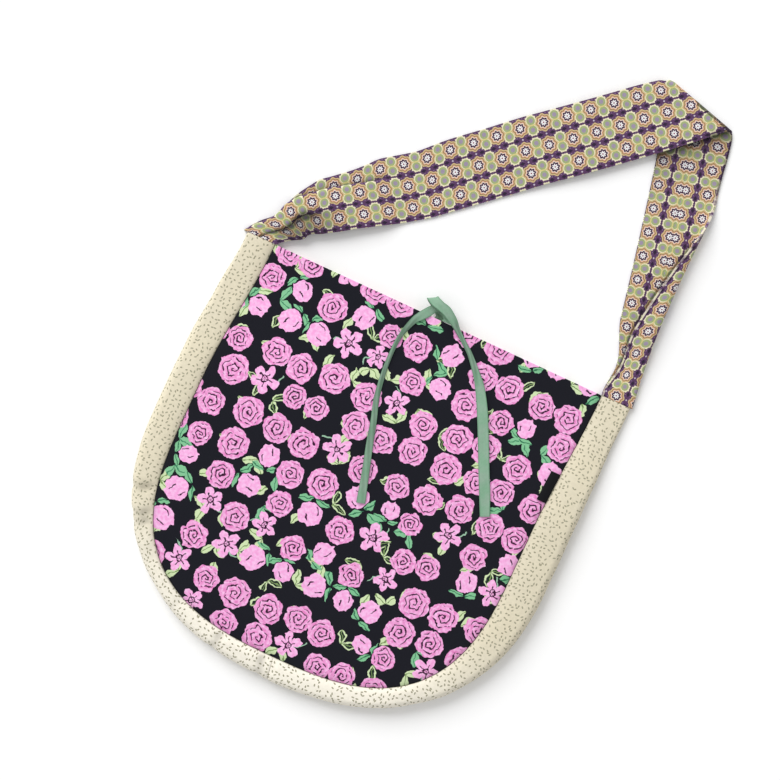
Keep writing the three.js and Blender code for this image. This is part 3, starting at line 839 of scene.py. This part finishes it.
def rose_print():
    material, add, place = new_finish("rose_printed_cotton")
    wander = add("TexNoise", place, sockets={"Scale": 0.13, "Detail": 2.0})
    wander = add("VectorMath MULTIPLY_ADD", wander.outputs["Color"], (7, 7, 0), (-3.5, -3.5, 0))
    drawn = add("VectorMath ADD", place, wander)
    brush = add("TexNoise", place, sockets={"Scale": 0.3, "Detail": 2.0})
    broken = add("TexNoise", place, sockets={"Scale": 0.16})

    # Leaf pairs on their own grid, below the flowers
    x, y, _, kind, chance = scattered(add, drawn, 33.5, 0.7, (19, 47, 0))
    inside_leaf, off = leaf(add, x, y, 0.85, -4, 16, 4.0)
    leaves = add("MULTIPLY", add("GREATER_THAN", inside_leaf, 0), add("GREATER_THAN", chance, 0.06))
    olive = add("GREATER_THAN", kind, 0.12)
    leaf_green = painted(add, "#86C698", [(olive, "#D4E6B6")])
    rib_tone = painted(add, "#3C8560", [(olive, "#7E9A5E")])
    layers = [
        (leaves, leaf_green),
        (add("GREATER_THAN", inside_leaf, 1.5), add("GREATER_THAN", chance, 0.6), olive, "#1A2A22"),
        (add("LESS_THAN", off, 0.45), leaves, rib_tone),
    ]

    # One flower to a cell
    x, y, room, kind, chance = scattered(add, drawn, 33.2, 0.34, (8, 3, 0))
    size = add("Clamp", add("ADD", room, 0.4), 11.6, 16)
    far = length_of(add, x, y)
    share = add("DIVIDE", far, size)
    angle = add("ARCTAN2", y, x)
    phase = add("MULTIPLY", chance, 6)
    is_bud = add("MULTIPLY", add("GREATER_THAN", kind, 0.6), add("LESS_THAN", kind, 0.84))
    is_open = add("GREATER_THAN", kind, 0.84)
    is_rose = add("LESS_THAN", kind, 0.6)
    line_width = add("DIVIDE", 0.62, size)
    pale_pink, pink, deep_pink, plum = "#FFC6F0", "#FAA8E0", "#EC88C9", "#3A1733"

    # The rose: a spiral whose turns are scalloped into petals
    scallop = add("ABSOLUTE", add("SINE", add("MULTIPLY_ADD", angle, 2.5, phase)))
    winding = add("MULTIPLY_ADD", angle, -1 / (2 * math.pi), add("MULTIPLY", share, 2.9))
    winding = add("MULTIPLY_ADD", add("MULTIPLY", scallop, share), 0.55, winding)
    stroke_width = add("MULTIPLY", line_width, add("MULTIPLY_ADD", share, -2.6, 4.6))
    petal_line = add("LESS_THAN", add("PINGPONG", winding, 0.5), stroke_width)
    drawn_in = add("GREATER_THAN", broken, add("MULTIPLY_ADD", share, 0.16, 0.33))
    within = add("LESS_THAN", share, 0.8)
    rose_edge = add("MULTIPLY_ADD", add("POWER", scallop, 0.5), 0.12, 0.88)
    rose_shape = add("MULTIPLY", add("LESS_THAN", share, rose_edge), is_rose)
    petal_tone = add("MULTIPLY_ADD", add("FRACT", winding), 0.7, add("MULTIPLY_ADD", brush, 2.4, -1.1))

    # The bud: a cup with a notched top, two strokes, and two leaves below
    across, up = add("DIVIDE", x, size), add("DIVIDE", y, size)
    notch = add("ABSOLUTE", add("SINE", add("MULTIPLY", across, 6)))
    notch = add("MULTIPLY", notch, add("MAXIMUM", up, 0))
    cup = add("MULTIPLY_ADD", add("MULTIPLY", across, across), 1.65, add("MULTIPLY", notch, 0.35))
    raised = add("SUBTRACT", up, 0.12)
    cup = add("MULTIPLY_ADD", add("MULTIPLY", raised, raised), 1.5, cup)
    bud_shape = add("MULTIPLY", add("LESS_THAN", cup, 1), is_bud)
    bow = add("MULTIPLY_ADD", add("MULTIPLY", up, up), -0.5, 0.34)
    stroke = add("ABSOLUTE", add("SUBTRACT", add("ABSOLUTE", add("ADD", across, 0.1)), bow))
    from_slant = add("ABSOLUTE", add("SUBTRACT", up, add("MULTIPLY_ADD", across, 0.9, 0.15)))
    stroke, short = add("LESS_THAN", stroke, line_width), add("LESS_THAN", from_slant, 0.3)
    inside_calyx, off = leaf(add, across, up, 1.35, -0.95, 1.2, 0.27)
    calyx = add("MULTIPLY", add("GREATER_THAN", inside_calyx, 0.04), is_bud)
    calyx_rib = add("LESS_THAN", off, 0.035)

    # The open flower: five petals, a plum eye, and a bent stem
    petal = add("ABSOLUTE", add("COSINE", add("MULTIPLY_ADD", angle, 2.5, phase)))
    petal_edge = add("MULTIPLY_ADD", add("POWER", petal, 0.7), 0.62, 0.36)
    open_shape = add("MULTIPLY", add("LESS_THAN", share, petal_edge), is_open)
    fold_line = add("LESS_THAN", add("MULTIPLY", add("SUBTRACT", 1, petal), share), 0.012)
    eye = add("LESS_THAN", add("ABSOLUTE", add("SUBTRACT", share, 0.2)), line_width)
    open_line = add("MAXIMUM", eye, add("MULTIPLY", fold_line, add("LESS_THAN", share, 0.55)))
    curve = add("MULTIPLY", add("SINE", add("MULTIPLY", up, 2.4)), 0.3)
    stem = add("LESS_THAN", add("ABSOLUTE", add("SUBTRACT", across, curve)), 0.055)
    stem_end = add("LESS_THAN", add("ABSOLUTE", add("ADD", up, 0.75)), 0.6)

    brushed = painted(add, deep_pink, [(add("Clamp", petal_tone), pale_pink)])
    softer = painted(add, pink, [(add("Clamp", add("MULTIPLY_ADD", brush, 4, -1.5)), pale_pink)])
    layers += [
        (stem, stem_end, is_open, "#9CC4A8"), (calyx, "#82C495"), (calyx_rib, calyx, "#2F7350"),
        (rose_shape, brushed), (petal_line, drawn_in, within, rose_shape, plum),
        (bud_shape, softer), (stroke, short, bud_shape, plum),
        (open_shape, softer), (open_line, open_shape, plum),
    ]
    return finish(material, add, place, painted(add, "#0B0C17", layers), 1.6, 0.95, 0.02)


finishes = {"rose_print": rose_print()}

# %% [markdown]
# ## Speckled cotton
#
# The band is unbleached cotton with a fine print of short grey-brown dashes, 4 to 5 mm apart and turned
# every way. It is the same idea as the roses: a Voronoi cell for each dash, and some cells left empty.
# Towards the bottom of the bag the band is drawn a little paler: painted light.


# %% Speckled cotton
def speckled_cotton():
    material, add, place = new_finish("speckled_cotton")
    x, y, _, kind, chance = scattered(add, place, 4.4, 0.75, (3, 5, 0))
    long_way = add("DIVIDE", y, add("MULTIPLY_ADD", chance, 0.5, 1.1))
    wide_way = add("DIVIDE", x, 0.72)
    dash = add("MULTIPLY_ADD", long_way, long_way, add("MULTIPLY", wide_way, wide_way))
    dash = add("MapRange", dash, 0.75, 1.25, 1, 0)
    shown = add("GREATER_THAN", kind, 0.12)
    ink = painted(add, "#98937A", [(chance, "#AAA68E")])
    cloud = add("TexNoise", place, sockets={"Scale": 0.02, "Detail": 2.0})
    # Painted light: paler towards the bottom of the bag
    beyond_mouth = add("SeparateXYZ", place).outputs[1]
    low = add("MapRange", beyond_mouth, -60, -185, 0, 1, interpolation_type="SMOOTHSTEP")
    layers = [(cloud, "#E1D9C3"), (low, "#FFF9EA"), (dash, shown, ink)]
    return finish(material, add, place, painted(add, "#E6DCC0", layers), 1.6, 0.9, 0.1)


finishes["speckled_cotton"] = speckled_cotton()

# %% [markdown]
# ## Medallion cloth
#
# The strap is a figured cotton: three columns of round medallions with lobed shapes between them, and
# purple stripes between the columns. The columns are 22.2 mm apart and the medallions 24.6 mm, so position
# on the strap is first folded into one repeat with modulo maths. Each ring or lobe is then a distance
# from a centre. As the strap is a tube, the same columns run on round its edges to the underside. The
# free edge of the short arm's fold is drawn pale in patches.


# %% Medallion cloth
first_column, half_column, half_repeat = 13.6, 11.1, 12.3


def medallion_cloth():
    material, add, place = new_finish("medallion_cloth")
    axes = add("SeparateXYZ", place)
    x = add("WRAP", add("SUBTRACT", axes.outputs[0], first_column), half_column, -half_column)
    y = add("ABSOLUTE", add("WRAP", axes.outputs[1], half_repeat, -half_repeat))
    side = add("ABSOLUTE", x)
    far = length_of(add, x, y)
    angle = add("ARCTAN2", y, x)
    ring = add("MULTIPLY_ADD", add("COSINE", add("MULTIPLY", angle, 8)), -0.55, far)
    star = add("MULTIPLY_ADD", add("ABSOLUTE", add("COSINE", add("MULTIPLY", angle, 4))), 1.9, 1.3)

    lobe_x, lobe_y = add("SUBTRACT", side, 4.6), add("SUBTRACT", y, half_repeat)
    lobe = length_of(add, lobe_x, lobe_y)
    teeth = add("SINE", add("MULTIPLY", add("ARCTAN2", lobe_y, lobe_x), 11))
    lobe_edge = add("MULTIPLY_ADD", teeth, 0.45, 5.8)
    waist = add("COSINE", add("MULTIPLY", y, 2 * math.pi / half_repeat))
    waist = add("LESS_THAN", side, add("MULTIPLY_ADD", waist, 0.9, 2.4))

    from_stripe = add("SUBTRACT", half_column, side)
    dotted = add("SINE", add("MULTIPLY", axes.outputs[1], 8 * math.pi / half_repeat))
    dotted = add("GREATER_THAN", dotted, 0.2)
    fine = add("LESS_THAN", add("ABSOLUTE", add("SUBTRACT", from_stripe, 2.6)), 0.3)
    diamond = add("ABSOLUTE", add("SUBTRACT", y, half_repeat / 2))
    diamond = add("LESS_THAN", add("MULTIPLY_ADD", diamond, 0.6, from_stripe), 1.7)
    point = add("LESS_THAN", add("MULTIPLY_ADD", y, 0.9, from_stripe), 1.0)

    layers = [(fine, dotted, "#8F7A9C"), (diamond, "#2A1A33"), (point, "#C9BFCE"), (waist, "#A2AC78")]
    for way, edge, paint in [
        (lobe, lobe_edge, "#ECE5C2"), (lobe, 4.3, "#A3B07C"), (lobe, 2.2, "#A093A8"), (side, 0.7, "#D6CC86"),
        (ring, 8.5, "#D3B886"), (ring, 7.1, "#7C6A45"), (ring, 6.4, "#DFA888"), (ring, 5.3, "#F2E8D8"),
        (ring, 4.6, "#472844"), (far, star, "#F6F6F6"), (far, 0.8, "#8C4B5A"),
    ]:
        layers.append((add("LESS_THAN", way, edge), paint))
    on_short = add("GREATER_THAN", axes.outputs[1], long_arm + 75)
    rim = add("LESS_THAN", add("ABSOLUTE", add("SUBTRACT", axes.outputs[0], 0.5)), 1.15)
    patchy = add("MapRange", add("TexNoise", place, sockets={"Scale": 0.14}), 0.42, 0.6, 0, 1)
    layers.append((rim, on_short, patchy, "#E4DAC6"))
    return finish(material, add, place, painted(add, "#59395F", layers), 1.6, 0.85, 0.1, depth=0.16)


finishes["medallion_cloth"] = medallion_cloth()

# %% [markdown]
# ## Tape, lining and tab
#
# The ties are cotton twill tape, with fine slanting ribs and denser edges. The lining is plain unbleached
# cotton. The tab is a folded piece of black satin ribbon, smoother than the other cloths, so it keeps a
# faint sheen.


# %% Tape, lining and tab
def twill_tape():
    material, add, place = new_finish("twill_tape")
    axes = add("SeparateXYZ", place)
    slant = add("MULTIPLY", add("ADD", axes.outputs[0], axes.outputs[1]), 2 * math.pi / 1.5)
    ribs = add("MULTIPLY_ADD", add("SINE", slant), 0.5, 0.5)
    faded = add("MapRange", add("TexNoise", place, sockets={"Scale": 0.07, "Detail": 3.0}), 0.35, 0.7, 0, 1)
    edge = add("GREATER_THAN", add("ABSOLUTE", axes.outputs[0]), 4.6)
    colour = painted(add, "#77A284", [(ribs, "#88B495"), (faded, "#93AE9B"), (edge, "#6F997C")])
    return finish(material, add, place, colour, 1.5, 0.8, 0.15)


finishes["green_tape"] = twill_tape()
finishes["plain_lining"] = finish(*new_finish("plain_lining_cotton"), "#D9D2BD", 1.6, 0.9, 0.1)
finishes["black_tape"] = finish(*new_finish("black_satin_ribbon"), "#0B0B0F", 1.2, 0.6, 0.02, 0.05, 0.12)

# %% [markdown]
# ## Floor and light
#
# A white table under one large soft light from beyond the mouth and to the left, as in a product
# picture. A sun lamp with a wide angle gives it: it has no falloff, so the whole table stays evenly lit.
# The white sky fills the shadows. Table and sky are drawn paper-white for the camera, and the table
# still takes the bag's shadow.

# %% Floor
def seen_directly(tree):
    """1 for the camera and for what glossy or clear surfaces show of the surroundings."""
    path = node(tree, "LightPath")
    shown = node(tree, "MAXIMUM", path.outputs["Is Glossy Ray"], path.outputs["Is Transmission Ray"])
    return node(tree, "MAXIMUM", path.outputs["Is Camera Ray"], shown)


table_width, table_gap = 12, 0.0002
bpy.ops.mesh.primitive_plane_add(size=table_width, location=(0, 0, -table_gap))
floor = bpy.context.object
floor.name = "table_top"
paper = bpy.data.materials.new("white_paper")
paper.use_nodes = True
lit_tone, seen_tone = (0.85, 0.85, 0.85, 1), (1.05, 1.05, 1.05, 1)
tone = node(paper.node_tree, "Mix", seen_directly(paper.node_tree), data_type="RGBA",
            sockets={6: lit_tone, 7: seen_tone})
surface = node(paper.node_tree, "BsdfDiffuse", tone)
paper.node_tree.links.new(surface.outputs[0], paper.node_tree.nodes["Material Output"].inputs[0])
floor.data.materials.append(paper)
print("table top:", floor.dimensions.x, "m")

# %% Light
lamp_data = bpy.data.lights.new("softbox", "SUN")
lamp_data.angle, lamp_data.energy = math.radians(46), 2.5
lamp = bpy.data.objects.new("softbox", lamp_data)
up, left = towards(90 + view_turn), towards(180 + view_turn)
lamp_height, lamp_beyond, lamp_left = 4.6, 6.0, 3.2
over_table = lamp_beyond * up + lamp_left * left
lamp.location = (over_table[0], over_table[1], lamp_height)
lamp.rotation_euler = (-lamp.location).to_track_quat("-Z", "Y").to_euler()
scene.collection.objects.link(lamp)

world = bpy.data.worlds.new("sky")
scene.world = world
world.use_nodes = True
sky = world.node_tree.nodes["Background"]
sky.inputs["Color"].default_value = (1, 1, 1, 1)
sky_light, sky_rest = 0.55, 0.45
strength = node(world.node_tree, "MULTIPLY_ADD", seen_directly(world.node_tree), sky_rest, sky_light)
world.node_tree.links.new(strength.outputs[0], sky.inputs["Strength"])
scene.view_settings.view_transform = "Standard"
print("lamp at", [round(c, 2) for c in lamp.location], "m")

# %% [markdown]
# ## What stands for what
#
# Each piece takes the place of the solid that stood for it and gets its finish. The last line prints
# which piece stands for which solid.

stands_for = {
    front_cloth: ("front_panel", "rose_print"), back_cloth: ("back_panel", "rose_print"),
    band_left: ("side_band_left", "speckled_cotton"), band_right: ("side_band_right", "speckled_cotton"),
    front_lining: ("lining_front", "plain_lining"), back_lining: ("lining_back", "plain_lining"),
    band_lining: ("lining_band", "plain_lining"), strap_cloth: ("shoulder_strap", "medallion_cloth"),
    tie_front: ("tie_front", "green_tape"), tie_back: ("tie_back", "green_tape"),
    tab: ("seam_tab", "black_tape"),
}
for piece, (node_name, slot) in stands_for.items():
    piece.data.polygons.foreach_set("material_index", [0] * len(piece.data.polygons))
    piece.data.materials.clear()
    piece.data.materials.append(finishes[slot])
    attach(piece, "root")
    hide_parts(node_name)
print("pieces:", {piece.name: node_name for piece, (node_name, slot) in stands_for.items()})
